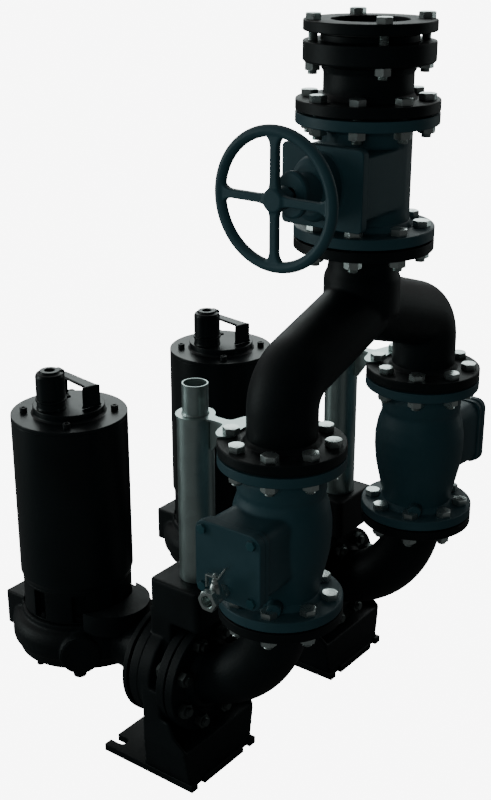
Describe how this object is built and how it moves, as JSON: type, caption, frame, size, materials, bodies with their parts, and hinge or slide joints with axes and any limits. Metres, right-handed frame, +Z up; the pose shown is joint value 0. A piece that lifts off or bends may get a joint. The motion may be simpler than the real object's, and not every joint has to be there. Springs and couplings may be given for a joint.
{
  "type": "sewage pump station",
  "caption": "Submersible sewage pumps on cast feet with bends, ball check valves and guide tubes, joined by a breeches pipe below a gate valve and a pipe adapter.",
  "frame": {"origin": "middle of the footprint box on the floor of the pit", "axes": "+X from the pumps towards the risers, +Y from the front unit to the back unit, +Z up"},
  "size_m": [0.6841, 0.7894, 1.256],
  "materials": {
    "black_coat": "thick black epoxy coat with a soft gloss",
    "blue_grey_coat": "petrol blue-grey epoxy coat, satin",
    "galvanised": "pale galvanised steel",
    "bright_steel": "bright turned steel"
  },
  "bodies": {
    "base": {"front_foot": "black_coat", "back_foot": "black_coat", "front_bend": "black_coat", "back_bend": "black_coat", "front_check_valve_body": "blue_grey_coat", "back_check_valve_body": "blue_grey_coat", "front_check_valve_cover": "blue_grey_coat", "back_check_valve_cover": "blue_grey_coat", "front_drain_cock": "galvanised", "back_drain_cock": "galvanised", "front_guide_tube": "galvanised", "back_guide_tube": "galvanised", "front_guide_bracket": "galvanised", "back_guide_bracket": "galvanised", "front_guide_stub": "galvanised", "back_guide_stub": "galvanised", "breeches_pipe": "black_coat", "gate_valve_body": "blue_grey_coat", "gate_valve_bonnet": "blue_grey_coat", "adapter_body": "black_coat", "adapter_ring": "black_coat"},
    "front_pump": {"front_pump_casing": "black_coat", "front_pump_claw": "black_coat", "front_suction_plate": "black_coat", "front_oil_chamber": "black_coat", "front_motor_housing": "black_coat", "front_motor_cover": "black_coat", "front_cable_entry": "black_coat", "front_lifting_handle": "black_coat"},
    "back_pump": {"back_pump_casing": "black_coat", "back_pump_claw": "black_coat", "back_suction_plate": "black_coat", "back_oil_chamber": "black_coat", "back_motor_housing": "black_coat", "back_motor_cover": "black_coat", "back_cable_entry": "black_coat", "back_lifting_handle": "black_coat"},
    "wheel": {"gate_valve_stem": "bright_steel", "handwheel": "blue_grey_coat"},
    "front_lever": {"front_drain_lever": "galvanised"},
    "back_lever": {"back_drain_lever": "galvanised"}
  },
  "joints": [
    {"name": "handwheel_turn", "type": "hinge", "parent": "base", "child": "wheel", "pos_m": [0.2315, -0.238, 1.02715], "axis": [0, -1, 0], "continuous": true},
    {"name": "front_pump_lift", "type": "slide", "parent": "base", "child": "front_pump", "axis": [0, 0, 1], "range_m": [0, 0.25]},
    {"name": "back_pump_lift", "type": "slide", "parent": "base", "child": "back_pump", "axis": [0, 0, 1], "range_m": [0, 0.25]},
    {"name": "front_lever_turn", "type": "hinge", "parent": "base", "child": "front_lever", "pos_m": [0.2268, -0.3735, 0.486], "axis": [0, 0, -1], "range_deg": [0, 90]},
    {"name": "back_lever_turn", "type": "hinge", "parent": "base", "child": "back_lever", "pos_m": [0.2268, 0.3735, 0.486], "axis": [0, 0, 1], "range_deg": [0, 90]}
  ]
}
